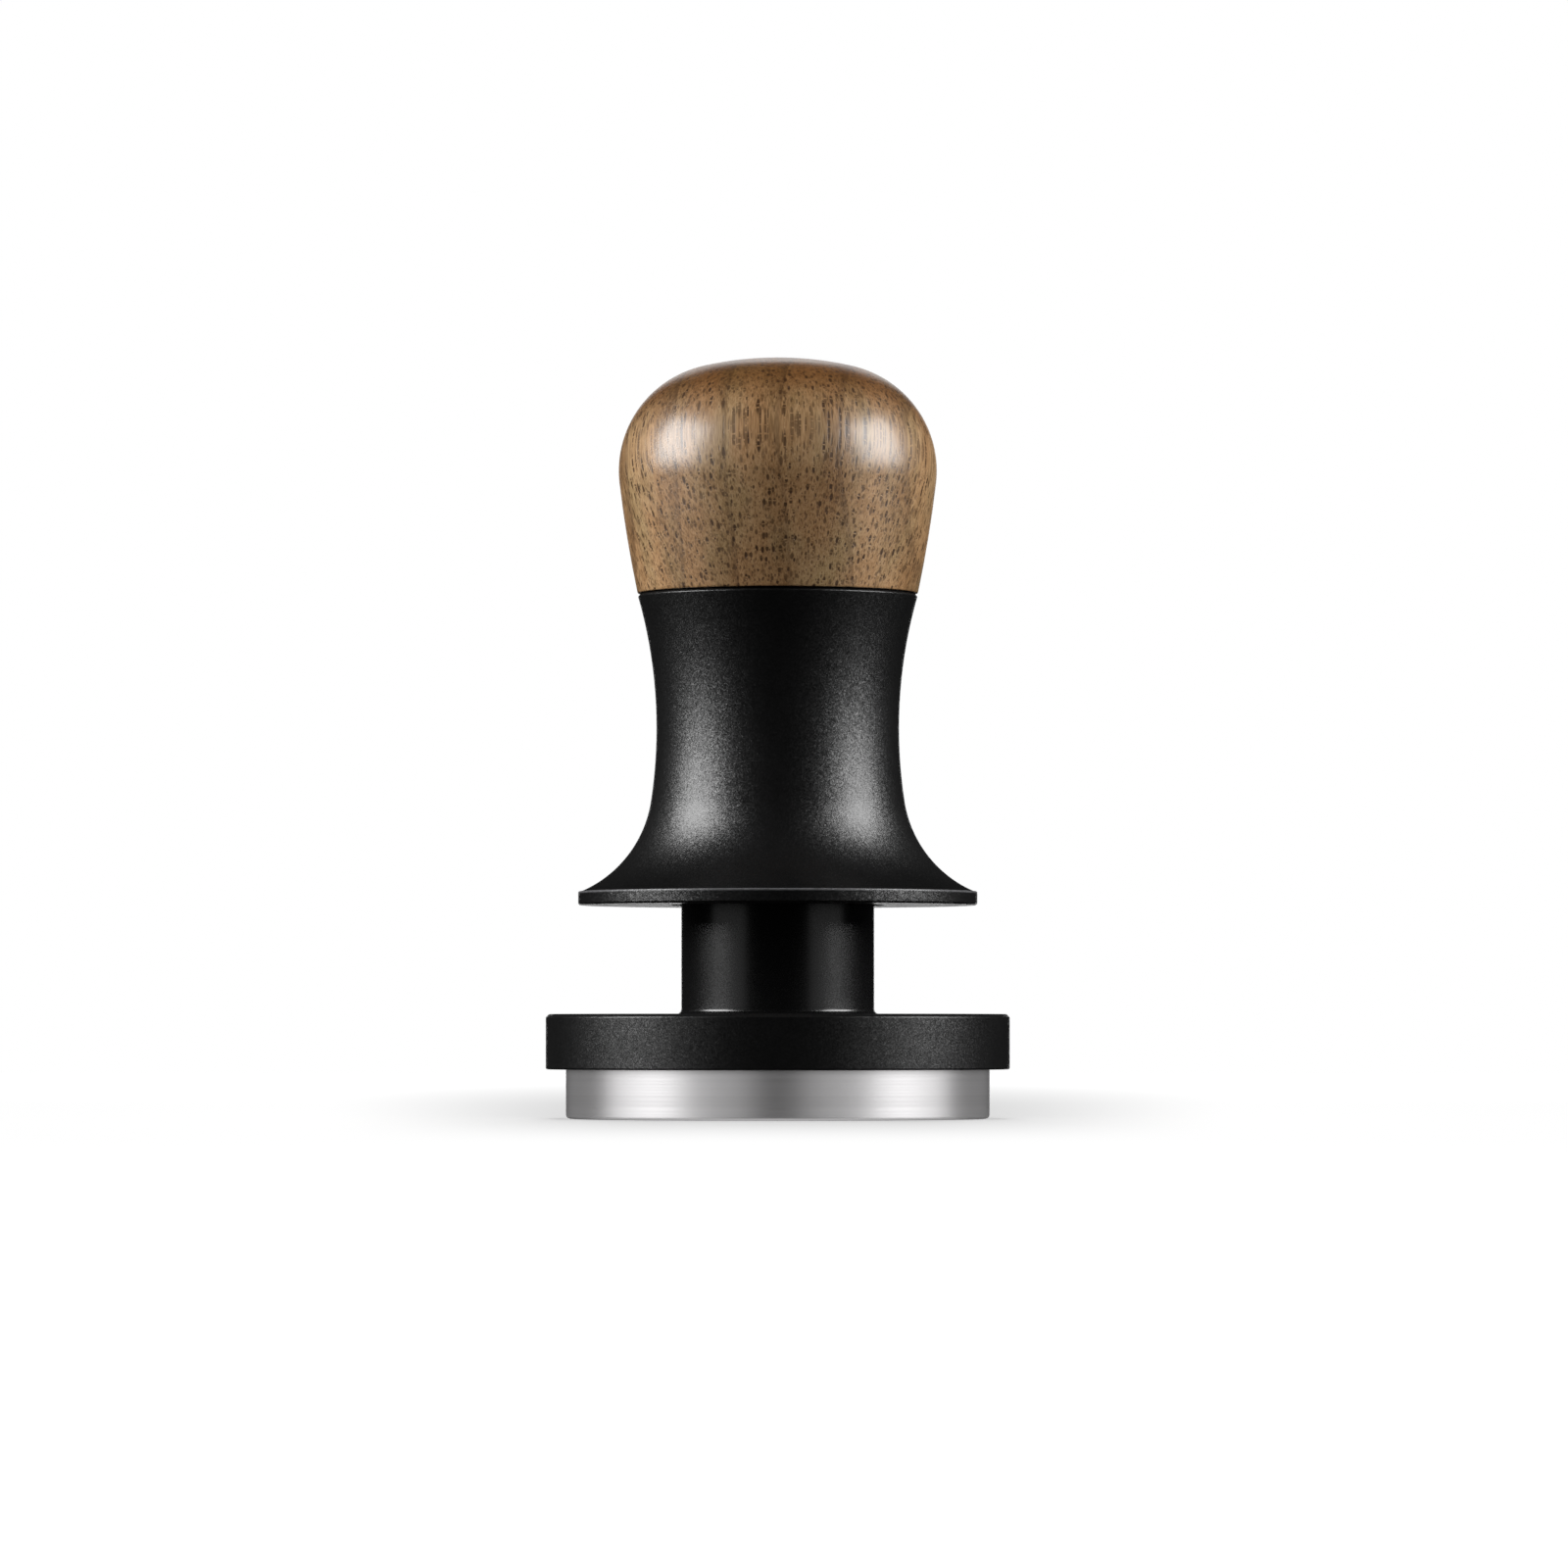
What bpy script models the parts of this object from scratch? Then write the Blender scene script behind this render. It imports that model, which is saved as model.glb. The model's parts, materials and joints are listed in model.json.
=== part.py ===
"""Spring-loaded espresso tamper for a 58 mm basket, with a levelling ring.

Origin: the middle of the tamping face. +Z runs up the axis, towards the knob. Metres throughout;
MM turns the millimetres of a drawing into metres.

How it works: the base hangs on a central shaft. Its piston rides in a spring housing, which is
screwed into the handle sleeve. Pressing the knob slides the sleeve down over the piston, against
the main spring, until the stop post meets the piston screw. The levelling ring and its tube slide
up the shaft, inside the sleeve, against a light return spring.
"""

from math import asin, cos, degrees, pi, radians, sin, tau

import bpy

MM = 0.001

# Driving dimensions, in millimetres.
BASE_RADIUS = 58.35 / 2  # fits a 58 mm basket
RING_RADIUS = 63.9 / 2
TUBE_RADIUS = 13.3
TUBE_BORE_RADIUS = 11.7
FLANGE_RADIUS = 27.5
SHAFT_RADIUS = 5.0
HOUSING_RADIUS = 10.0
HOUSING_BORE_RADIUS = 8.9

RING_BOTTOM_Z = 6.8  # the basket's rim meets the ring here
RING_TOP_Z = 14.4
FLANGE_BOTTOM_Z = 29.4
FLANGE_RIM = 1.9  # height of the flange's upright edge
SLEEVE_TOP_Z = 72.3
KNOB_TOP_Z = 104.9

PRESS_TRAVEL = 6.0  # handle down, against the main spring; the levelling ring rises up to 8.5

GAP = 0.3  # between pieces that rest on each other
SLIDE_GAP = 0.1  # between pieces that slide in each other
END_CHAMFER = 0.4  # on the ends of screws, studs and posts

# The knob's outline, from the top of the dome: radius of each arc and the degrees it turns.
KNOB_ARCS = ((46.7, 13.05), (14.73, 83.7), (167.0, 5.16))
# The sleeve's outline, from its top edge down: a long waist, then the flare.
SLEEVE_TOP_RADIUS = 19.26
SLEEVE_LEAN = 15.9  # degrees that the wall leans in at the top
WAIST_ARC_RADIUS, WAIST_ARC_TURN = 66.3, 24.67
FLARE_ARC_RADIUS = 16.15

BIG_STEPS = 48  # facets of the pieces that show
SMALL_STEPS = 24  # facets of the pieces inside

MATERIALS = {
    "stainless_steel": ((0.62, 0.61, 0.60), 0.28, 1.0),
    "black_anodised": ((0.018, 0.018, 0.019), 0.42, 0.6),
    "walnut": ((0.26, 0.15, 0.08), 0.38, 0.0),
    "brass": ((0.72, 0.52, 0.22), 0.30, 1.0),
    "spring_steel": ((0.42, 0.41, 0.40), 0.32, 1.0),
    "silicone_rubber": ((0.03, 0.03, 0.03), 0.75, 0.0),
    "acetal": ((0.82, 0.81, 0.77), 0.45, 0.0),
    "raw_aluminium": ((0.70, 0.70, 0.71), 0.35, 1.0),
}


def clear_scene():
    for obj in list(bpy.data.objects):
        bpy.data.objects.remove(obj, do_unlink=True)


def new_collection(name):
    collection = bpy.data.collections.new(name)
    bpy.context.scene.collection.children.link(collection)
    return collection


def material(name):
    """The named Principled material, made the first time it is asked for."""
    found = bpy.data.materials.get(name)
    if found:
        return found
    colour, roughness, metallic = MATERIALS[name]
    made = bpy.data.materials.new(name)
    made.use_nodes = True
    shader = made.node_tree.nodes["Principled BSDF"]
    shader.inputs["Base Color"].default_value = (*colour, 1.0)
    shader.inputs["Roughness"].default_value = roughness
    shader.inputs["Metallic"].default_value = metallic
    return made


def place(name, data, material_name):
    obj = bpy.data.objects.new(name, data)
    data.materials.append(material(material_name))
    tamper.objects.link(obj)
    return obj


def arc_chain(start, heading, arcs, degrees_per_point):
    """Points along arcs that run smoothly into each other, in the (r, z) plane.

    heading is the direction at the start, in degrees from outwards (0) through down (-90). Each arc
    is (radius, turn in degrees): a positive turn is clockwise, a negative one anticlockwise.
    """
    points = [start]
    angle = radians(heading)
    for radius, turn in arcs:
        side = 1 if turn > 0 else -1
        r, z = points[-1]
        centre_r = r + side * radius * sin(angle)
        centre_z = z - side * radius * cos(angle)
        count = max(2, round(abs(turn) / degrees_per_point))
        first = angle
        for i in range(1, count + 1):
            angle = first - radians(turn) * i / count
            points.append((centre_r - side * radius * sin(angle), centre_z + side * radius * cos(angle)))
    return points


def round_corner(centre, radius, first_degrees, last_degrees, count):
    """Points on an arc about centre, angles measured from outwards towards up."""
    points = []
    for i in range(count + 1):
        angle = radians(first_degrees + (last_degrees - first_degrees) * i / count)
        points.append((centre[0] + radius * cos(angle), centre[1] + radius * sin(angle)))
    return points


def turned(name, profile, material_name, steps=SMALL_STEPS, closed=True):
    """A turned piece: an (r, z) profile in millimetres, outer side from top to bottom, spun about Z.

    A closed profile is a ring's section. An open one starts and ends on the axis.
    """
    mesh = bpy.data.meshes.new(name)
    count = len(profile)
    edges = [(i, i + 1) for i in range(count - 1)]
    if closed:
        edges.append((count - 1, 0))
    mesh.from_pydata([(r * MM, 0.0, z * MM) for r, z in profile], edges, [])
    obj = place(name, mesh, material_name)
    screw = obj.modifiers.new("Turn", "SCREW")
    screw.angle = tau
    screw.steps = screw.render_steps = steps
    screw.use_merge_vertices = True
    screw.merge_threshold = 1e-6
    return obj


def washer(name, inner, outer, bottom, top, material_name, edge=0.0, steps=SMALL_STEPS):
    """A flat ring, with its four edges chamfered by edge if that isn't 0."""
    if not edge:
        profile = [(inner, top), (outer, top), (outer, bottom), (inner, bottom)]
    else:
        profile = [
            (inner + edge, top),
            (outer - edge, top),
            (outer, top - edge),
            (outer, bottom + edge),
            (outer - edge, bottom),
            (inner + edge, bottom),
            (inner, bottom + edge),
            (inner, top - edge),
        ]
    return turned(name, profile, material_name, steps)


def o_ring(name, middle_radius, thickness, z, steps):
    """A rubber ring of round section."""
    sides = 8
    section = [
        (middle_radius + thickness / 2 * sin(tau * i / sides), z + thickness / 2 * cos(tau * i / sides))
        for i in range(sides)
    ]
    return turned(name, section, "silicone_rubber", steps)


def cut(obj, cutter, label):
    """Takes the shape just added, the cutter, out of obj."""
    cutter.name = obj.name + "_" + label
    for collection in cutter.users_collection:
        collection.objects.unlink(cutter)
    cutters.objects.link(cutter)
    cutter.hide_render = True
    cutter.display_type = "WIRE"
    boolean = obj.modifiers.new(label, "BOOLEAN")
    boolean.operation = "DIFFERENCE"
    boolean.object = cutter


def cut_hex_socket(obj, across_flats, top, depth):
    """Sinks a hexagonal key socket into the top of a screw."""
    bpy.ops.mesh.primitive_cylinder_add(
        vertices=6,
        radius=across_flats / 2 / cos(pi / 6) * MM,
        depth=2 * depth * MM,
        location=(0, 0, top * MM),
    )
    cut(obj, bpy.context.object, "socket")


def cut_spanner_flats(obj, across_flats, bottom, top):
    """Cuts two parallel flats into a round collar."""
    size = 4 * across_flats
    for side in (-1, 1):
        bpy.ops.mesh.primitive_cube_add(
            size=size * MM,
            location=(side * (across_flats + size) / 2 * MM, 0, (bottom + top) / 2 * MM),
            scale=(1, 1, (top - bottom) / size),
        )
        cut(obj, bpy.context.object, "flat")


def coil(name, middle_radius, wire, bottom, top, turns, points_per_turn):
    """A compression spring with one closed turn at each end; wire is its thickness."""
    closed_pitch = wire * 1.12
    low, high = bottom + wire / 2, top - wire / 2
    open_pitch = (high - low - 2 * closed_pitch) / (turns - 2)
    count = round(turns * points_per_turn)
    curve = bpy.data.curves.new(name, "CURVE")
    curve.dimensions = "3D"
    curve.bevel_depth = wire / 2 * MM
    curve.bevel_resolution = 2
    curve.use_fill_caps = True
    line = curve.splines.new("POLY")
    line.points.add(count)
    for i in range(count + 1):
        turn = turns * i / count
        rise = closed_pitch * min(turn, 1) + closed_pitch * max(turn - turns + 1, 0)
        rise += open_pitch * (min(max(turn, 1), turns - 1) - 1)
        x, y = middle_radius * cos(tau * turn), middle_radius * sin(tau * turn)
        line.points[i].co = (x * MM, y * MM, (low + rise) * MM, 1)
    return place(name, curve, "spring_steel")


def split_ring(name, inner, outer, bottom, thickness, gap_degrees):
    """A flat spring ring with a gap on its +X side."""
    start, end = gap_degrees / 2, 360 - gap_degrees / 2
    count = round(outer * 2.5)
    outline = round_corner((0, 0), outer, start, end, count) + round_corner((0, 0), inner, end, start, count)
    curve = bpy.data.curves.new(name, "CURVE")
    curve.dimensions = "2D"
    curve.fill_mode = "BOTH"
    curve.extrude = thickness / 2 * MM
    line = curve.splines.new("POLY")
    line.points.add(len(outline) - 1)
    line.use_cyclic_u = True
    for point, (x, y) in zip(line.points, outline):
        point.co = (x * MM, y * MM, 0, 1)
    obj = place(name, curve, "spring_steel")
    obj.location.z = (bottom + thickness / 2) * MM
    return obj


def shade_smooth_with_corners():
    """Applies the turned pieces' modifiers and shades them smooth, with their corners left sharp."""
    depsgraph = bpy.context.evaluated_depsgraph_get()
    for obj in tamper.objects:
        if obj.type != "MESH":
            continue
        profile = obj.data
        obj.data = bpy.data.meshes.new_from_object(obj.evaluated_get(depsgraph))
        obj.modifiers.clear()
        bpy.data.meshes.remove(profile)
        obj.data.name = obj.name
        obj.data.shade_smooth()
        obj.data.set_sharp_from_angle(angle=radians(35))


# ---- the base and its shaft ----

BASE_TOP_Z = RING_BOTTOM_Z + 0.2  # hidden in the ring's recess
BASE_EDGE = 0.55  # round on the tamping edge
BASE_TOP_CHAMFER = 0.2
TAPPED_RADIUS, TAPPED_BOTTOM_Z = 4.15, 1.9
SEAL_POCKET_RADIUS, SEAL_POCKET_DEPTH = 5.7, 1.3
SEAL_RADIUS, SEAL_THICKNESS = 4.9, 1.1
THREAD_RADIUS = TAPPED_RADIUS - GAP
COLLAR_RADIUS, COLLAR_FLATS = 7.0, 12.0
COLLAR_Z = (BASE_TOP_Z + 0.1, 8.7)
CLIP_GROOVE_RADIUS, CLIP_GROOVE_Z = 4.1, (40.2, 41.2)
SHOULDER_Z = 54.6
SPIGOT_RADIUS, SPIGOT_TOP_Z = 3.0, 56.5
SCREW_HOLE_RADIUS, SCREW_HOLE_BOTTOM_Z = 2.2, 47.5


def make_tamper_base():
    pocket_z = BASE_TOP_Z - SEAL_POCKET_DEPTH
    profile = [
        (0, TAPPED_BOTTOM_Z),
        (TAPPED_RADIUS, TAPPED_BOTTOM_Z),
        (TAPPED_RADIUS, pocket_z),
        (SEAL_POCKET_RADIUS, pocket_z),
        (SEAL_POCKET_RADIUS, BASE_TOP_Z),
        (BASE_RADIUS - BASE_TOP_CHAMFER, BASE_TOP_Z),
        (BASE_RADIUS, BASE_TOP_Z - BASE_TOP_CHAMFER),
        *round_corner((BASE_RADIUS - BASE_EDGE, BASE_EDGE), BASE_EDGE, 0, -90, 3),
        (0, 0),
    ]
    turned("tamper_base", profile, "stainless_steel", BIG_STEPS, closed=False)
    o_ring("base_seal_ring", SEAL_RADIUS, SEAL_THICKNESS, pocket_z + SEAL_POCKET_DEPTH / 2, SMALL_STEPS)


def make_shaft():
    """Screwed into the base up to its collar; the piston sits on its shoulder."""
    groove_low, groove_high = CLIP_GROOVE_Z
    collar_bottom, collar_top = COLLAR_Z
    thread_end = TAPPED_BOTTOM_Z + GAP
    profile = [
        (0, SCREW_HOLE_BOTTOM_Z),
        (SCREW_HOLE_RADIUS, SCREW_HOLE_BOTTOM_Z),
        (SCREW_HOLE_RADIUS, SPIGOT_TOP_Z),
        (SPIGOT_RADIUS, SPIGOT_TOP_Z),
        (SPIGOT_RADIUS, SHOULDER_Z),
        (SHAFT_RADIUS, SHOULDER_Z),
        (SHAFT_RADIUS, groove_high),
        (CLIP_GROOVE_RADIUS, groove_high),
        (CLIP_GROOVE_RADIUS, groove_low),
        (SHAFT_RADIUS, groove_low),
        (SHAFT_RADIUS, collar_top),
        (COLLAR_RADIUS, collar_top),
        (COLLAR_RADIUS, collar_bottom),
        (THREAD_RADIUS, collar_bottom),
        (THREAD_RADIUS, thread_end + END_CHAMFER),
        (THREAD_RADIUS - END_CHAMFER, thread_end),
        (0, thread_end),
    ]
    shaft = turned("centre_shaft", profile, "stainless_steel", closed=False)
    cut_spanner_flats(shaft, COLLAR_FLATS, collar_bottom - SLIDE_GAP / 2, collar_top + SLIDE_GAP)


# ---- the piston at the top of the shaft ----

PISTON_RADIUS, PISTON_Z = 8.6, (53.8, 56.8)
PISTON_CHAMFER = 0.3
PISTON_WASHER_RADIUS, PISTON_WASHER_Z = 5.0, (57.0, 57.8)
SCREW_SHANK_RADIUS, SCREW_END_Z = 1.9, 48.0
SCREW_HEAD_RADIUS, SCREW_HEAD_Z = 3.5, (58.0, 61.5)
KEY_SIZE, KEY_DEPTH = 3.0, 2.0


def make_piston():
    bottom, top = PISTON_Z
    profile = [
        (SPIGOT_RADIUS + GAP, top),
        (PISTON_RADIUS - PISTON_CHAMFER, top),
        (PISTON_RADIUS, top - PISTON_CHAMFER),
        (PISTON_RADIUS, bottom + PISTON_CHAMFER),
        (PISTON_RADIUS - PISTON_CHAMFER, bottom),
        (SHAFT_RADIUS + GAP, bottom),
        (SHAFT_RADIUS + GAP, SHOULDER_Z + GAP),
        (SPIGOT_RADIUS + GAP, SHOULDER_Z + GAP),
    ]
    turned("piston", profile, "brass")
    hole = SCREW_SHANK_RADIUS + GAP
    washer("piston_washer", hole, PISTON_WASHER_RADIUS, *PISTON_WASHER_Z, "stainless_steel")


def make_piston_screw():
    bottom, top = SCREW_HEAD_Z
    profile = [
        (0, top),
        (SCREW_HEAD_RADIUS - END_CHAMFER, top),
        (SCREW_HEAD_RADIUS, top - END_CHAMFER),
        (SCREW_HEAD_RADIUS, bottom),
        (SCREW_SHANK_RADIUS, bottom),
        (SCREW_SHANK_RADIUS, SCREW_END_Z + END_CHAMFER),
        (SCREW_SHANK_RADIUS - END_CHAMFER, SCREW_END_Z),
        (0, SCREW_END_Z),
    ]
    screw = turned("piston_screw", profile, "stainless_steel", closed=False)
    cut_hex_socket(screw, KEY_SIZE, top, KEY_DEPTH)


# ---- the main spring, which turns with the handle on its thrust washer ----

MAIN_SPRING_Z = (58.2, 79.3)
MAIN_SPRING_RADIUS, MAIN_WIRE, MAIN_TURNS = 7.3, 2.0, 6
THRUST_WASHER_Z = (57.1, 57.9)


def make_main_spring():
    hole = PISTON_WASHER_RADIUS + 0.4
    washer("thrust_washer", hole, PISTON_RADIUS, *THRUST_WASHER_Z, "acetal")
    coil("main_spring", MAIN_SPRING_RADIUS, MAIN_WIRE, *MAIN_SPRING_Z, MAIN_TURNS, points_per_turn=12)


# ---- the levelling ring, its tube and its return spring ----

TUBE_TOP_Z, TUBE_FLOOR_Z = 44.0, 12.0
TUBE_FILLET = 0.7
TUBE_TOP_CHAMFER = 0.3
RING_EDGE, RING_LOWER_EDGE = 0.45, 0.15
BASE_RECESS_RADIUS, BASE_RECESS_Z = BASE_RADIUS + 0.27, BASE_TOP_Z + 0.15
COLLAR_RECESS_RADIUS, COLLAR_RECESS_Z = COLLAR_RADIUS + 1.0, COLLAR_Z[1] + GAP
BUSH_RADIUS = 6.5
BUSH_FLANGE_RADIUS, BUSH_FLANGE_HEIGHT = 8.2, 1.0
TUBE_SEAL_Z = 42.0
TUBE_SEAL_RADIUS, TUBE_SEAL_THICKNESS = 13.38, 1.14
TUBE_GROOVE_RADIUS, TUBE_GROOVE_HALF_HEIGHT = 12.7, 0.8


def make_levelling_ring():
    """The disc and the tube above it, turned in one piece."""
    groove_low, groove_high = TUBE_SEAL_Z - TUBE_GROOVE_HALF_HEIGHT, TUBE_SEAL_Z + TUBE_GROOVE_HALF_HEIGHT
    profile = [
        (TUBE_BORE_RADIUS, TUBE_TOP_Z),
        (TUBE_RADIUS - TUBE_TOP_CHAMFER, TUBE_TOP_Z),
        (TUBE_RADIUS, TUBE_TOP_Z - TUBE_TOP_CHAMFER),
        (TUBE_RADIUS, groove_high),
        (TUBE_GROOVE_RADIUS, groove_high),
        (TUBE_GROOVE_RADIUS, groove_low),
        (TUBE_RADIUS, groove_low),
        *round_corner((TUBE_RADIUS + TUBE_FILLET, RING_TOP_Z + TUBE_FILLET), TUBE_FILLET, 180, 270, 3),
        (RING_RADIUS - RING_EDGE, RING_TOP_Z),
        (RING_RADIUS, RING_TOP_Z - RING_EDGE),
        (RING_RADIUS, RING_BOTTOM_Z + RING_LOWER_EDGE),
        (RING_RADIUS - RING_LOWER_EDGE, RING_BOTTOM_Z),
        (BASE_RECESS_RADIUS, RING_BOTTOM_Z),
        (BASE_RECESS_RADIUS, BASE_RECESS_Z),
        (COLLAR_RECESS_RADIUS, BASE_RECESS_Z),
        (COLLAR_RECESS_RADIUS, COLLAR_RECESS_Z),
        (BUSH_RADIUS + SLIDE_GAP, COLLAR_RECESS_Z),
        (BUSH_RADIUS + SLIDE_GAP, TUBE_FLOOR_Z),
        (TUBE_BORE_RADIUS, TUBE_FLOOR_Z),
    ]
    turned("levelling_ring", profile, "black_anodised", BIG_STEPS)
    o_ring("tube_seal_ring", TUBE_SEAL_RADIUS, TUBE_SEAL_THICKNESS, TUBE_SEAL_Z, BIG_STEPS)


def make_ring_bush():
    """Flanged bush between the levelling ring and the shaft it slides on."""
    bore = SHAFT_RADIUS + SLIDE_GAP
    flange_bottom = TUBE_FLOOR_Z + SLIDE_GAP
    flange_top = flange_bottom + BUSH_FLANGE_HEIGHT
    bottom = COLLAR_RECESS_Z + SLIDE_GAP
    profile = [
        (bore, flange_top),
        (BUSH_FLANGE_RADIUS, flange_top),
        (BUSH_FLANGE_RADIUS, flange_bottom),
        (BUSH_RADIUS, flange_bottom),
        (BUSH_RADIUS, bottom),
        (bore, bottom),
    ]
    turned("ring_bush", profile, "acetal")


RETURN_SPRING_Z = (TUBE_FLOOR_Z + GAP, 38.8)
RETURN_SPRING_RADIUS, RETURN_WIRE, RETURN_TURNS = 9.4, 1.0, 8
RETURN_SEAT_RADIUS, RETURN_SEAT_Z = 10.3, (39.0, 40.0)
CLIP_RADIUS, CLIP_THICKNESS, CLIP_OPENING = 7.4, 0.8, 64  # the opening in degrees


def make_return_spring():
    """Presses the levelling ring down; its seat is held on the shaft by a clip."""
    coil(
        "return_spring",
        RETURN_SPRING_RADIUS,
        RETURN_WIRE,
        *RETURN_SPRING_Z,
        RETURN_TURNS,
        points_per_turn=12,
    )
    bore = SHAFT_RADIUS + SLIDE_GAP
    washer("return_spring_seat", bore, RETURN_SEAT_RADIUS, *RETURN_SEAT_Z, "stainless_steel")
    clip_bottom = CLIP_GROOVE_Z[0] + SLIDE_GAP
    split_ring(
        "shaft_clip", CLIP_GROOVE_RADIUS + 0.2, CLIP_RADIUS, clip_bottom, CLIP_THICKNESS, CLIP_OPENING
    )


# ---- the handle: sleeve, guide bush, spring housing, plug and knob ----

SLEEVE_BORE_RADIUS = TUBE_RADIUS + 0.75
PARTITION_Z = (62.3, 68.3)
GUIDE_POCKET_RADIUS, GUIDE_POCKET_TOP_Z = 14.8, 39.2
SNAP_GROOVE_RADIUS, SNAP_GROOVE_Z = 15.8, (29.85, 30.75)
SNAP_RING_THICKNESS, SNAP_RING_GAP = 0.7, 18  # the gap in degrees
SPIGOT_POCKET_RADIUS = 15.0
SLEEVE_EDGE = 0.35
RIM_EDGE = 0.2


def sleeve_outline():
    """The sleeve's outer side, from its top edge down to the flange's rim."""
    heading = -90 - SLEEVE_LEAN
    start = (SLEEVE_TOP_RADIUS, SLEEVE_TOP_Z - SLEEVE_EDGE)
    waist = arc_chain(start, heading, [(WAIST_ARC_RADIUS, -WAIST_ARC_TURN)], degrees_per_point=4)
    # The flare starts where the waist ends, and turns until it has come down to the rim.
    flare_lean = WAIST_ARC_TURN - SLEEVE_LEAN
    drop = waist[-1][1] - (FLANGE_BOTTOM_Z + FLANGE_RIM)
    flare_turn = degrees(asin(sin(radians(flare_lean)) + drop / FLARE_ARC_RADIUS)) - flare_lean
    flare_arc = (FLARE_ARC_RADIUS, -flare_turn)
    flare = arc_chain(waist[-1], heading + WAIST_ARC_TURN, [flare_arc], degrees_per_point=8)
    return waist + flare[1:]


def make_sleeve():
    """The handle's metal body; its inner partition carries the spring housing."""
    partition_bottom, partition_top = PARTITION_Z
    housing_hole = HOUSING_RADIUS + GAP
    snap_low, snap_high = SNAP_GROOVE_Z
    profile = [
        (housing_hole, partition_top),
        (SPIGOT_POCKET_RADIUS, partition_top),
        (SPIGOT_POCKET_RADIUS, SLEEVE_TOP_Z),
        (SLEEVE_TOP_RADIUS - SLEEVE_EDGE, SLEEVE_TOP_Z),
        *sleeve_outline(),
        (FLANGE_RADIUS, FLANGE_BOTTOM_Z + FLANGE_RIM),
        (FLANGE_RADIUS, FLANGE_BOTTOM_Z + RIM_EDGE),
        (FLANGE_RADIUS - RIM_EDGE, FLANGE_BOTTOM_Z),
        (GUIDE_POCKET_RADIUS, FLANGE_BOTTOM_Z),
        (GUIDE_POCKET_RADIUS, snap_low),
        (SNAP_GROOVE_RADIUS, snap_low),
        (SNAP_GROOVE_RADIUS, snap_high),
        (GUIDE_POCKET_RADIUS, snap_high),
        (GUIDE_POCKET_RADIUS, GUIDE_POCKET_TOP_Z),
        (SLEEVE_BORE_RADIUS, GUIDE_POCKET_TOP_Z),
        (SLEEVE_BORE_RADIUS, partition_bottom),
        (housing_hole, partition_bottom),
    ]
    turned("handle_sleeve", profile, "black_anodised", BIG_STEPS)


def make_guide_bush():
    """The bush that the tube slides in, and the ring that keeps it in the sleeve."""
    inner, outer = TUBE_RADIUS + SLIDE_GAP, GUIDE_POCKET_RADIUS - SLIDE_GAP
    bottom, top = SNAP_GROOVE_Z[1] + SLIDE_GAP, GUIDE_POCKET_TOP_Z - 0.2
    washer("guide_bush", inner, outer, bottom, top, "acetal", steps=BIG_STEPS)
    split_ring(
        "bush_snap_ring",
        TUBE_RADIUS + 0.5,
        SNAP_GROOVE_RADIUS - 0.25,
        SNAP_GROOVE_Z[0] + SLIDE_GAP,
        SNAP_RING_THICKNESS,
        SNAP_RING_GAP,
    )


HOUSING_Z = (50.0, 84.4)
HOUSING_FLOOR_Z = 52.2
HOUSING_END_CHAMFER = 0.4
HOUSING_FLANGE_RADIUS, HOUSING_FLANGE_Z = 13.0, (PARTITION_Z[1] + GAP, 70.4)


def make_spring_housing():
    """The cup that the piston and the main spring work in, with a rubber ring as its rest stop."""
    bottom, top = HOUSING_Z
    flange_bottom, flange_top = HOUSING_FLANGE_Z
    shaft_hole = SHAFT_RADIUS + GAP
    profile = [
        (HOUSING_BORE_RADIUS, top),
        (HOUSING_RADIUS, top),
        (HOUSING_RADIUS, flange_top),
        (HOUSING_FLANGE_RADIUS, flange_top),
        (HOUSING_FLANGE_RADIUS, flange_bottom),
        (HOUSING_RADIUS, flange_bottom),
        (HOUSING_RADIUS, bottom + HOUSING_END_CHAMFER),
        (HOUSING_RADIUS - HOUSING_END_CHAMFER, bottom),
        (shaft_hole, bottom),
        (shaft_hole, HOUSING_FLOOR_Z),
        (HOUSING_BORE_RADIUS, HOUSING_FLOOR_Z),
    ]
    turned("spring_housing", profile, "raw_aluminium")
    inner, outer = SHAFT_RADIUS + 0.5, HOUSING_BORE_RADIUS - 0.4
    washer("stop_bumper", inner, outer, HOUSING_FLOOR_Z + 0.2, PISTON_Z[0] - 0.2, "silicone_rubber", edge=0.3)


POST_RADIUS = 4.5
POST_BOTTOM_Z = SCREW_HEAD_Z[1] + PRESS_TRAVEL + GAP
SPRING_SEAT_Z = (MAIN_SPRING_Z[1] + GAP, 80.6)
PLUG_BOTTOM_Z = SPRING_SEAT_Z[1] + GAP
PLUG_FLANGE_Z = (HOUSING_Z[1] + 0.2, 86.0)
STUD_RADIUS, STUD_Z = 2.9, (77.0, 96.5)
STUD_BORE_RADIUS = STUD_RADIUS + GAP


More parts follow.
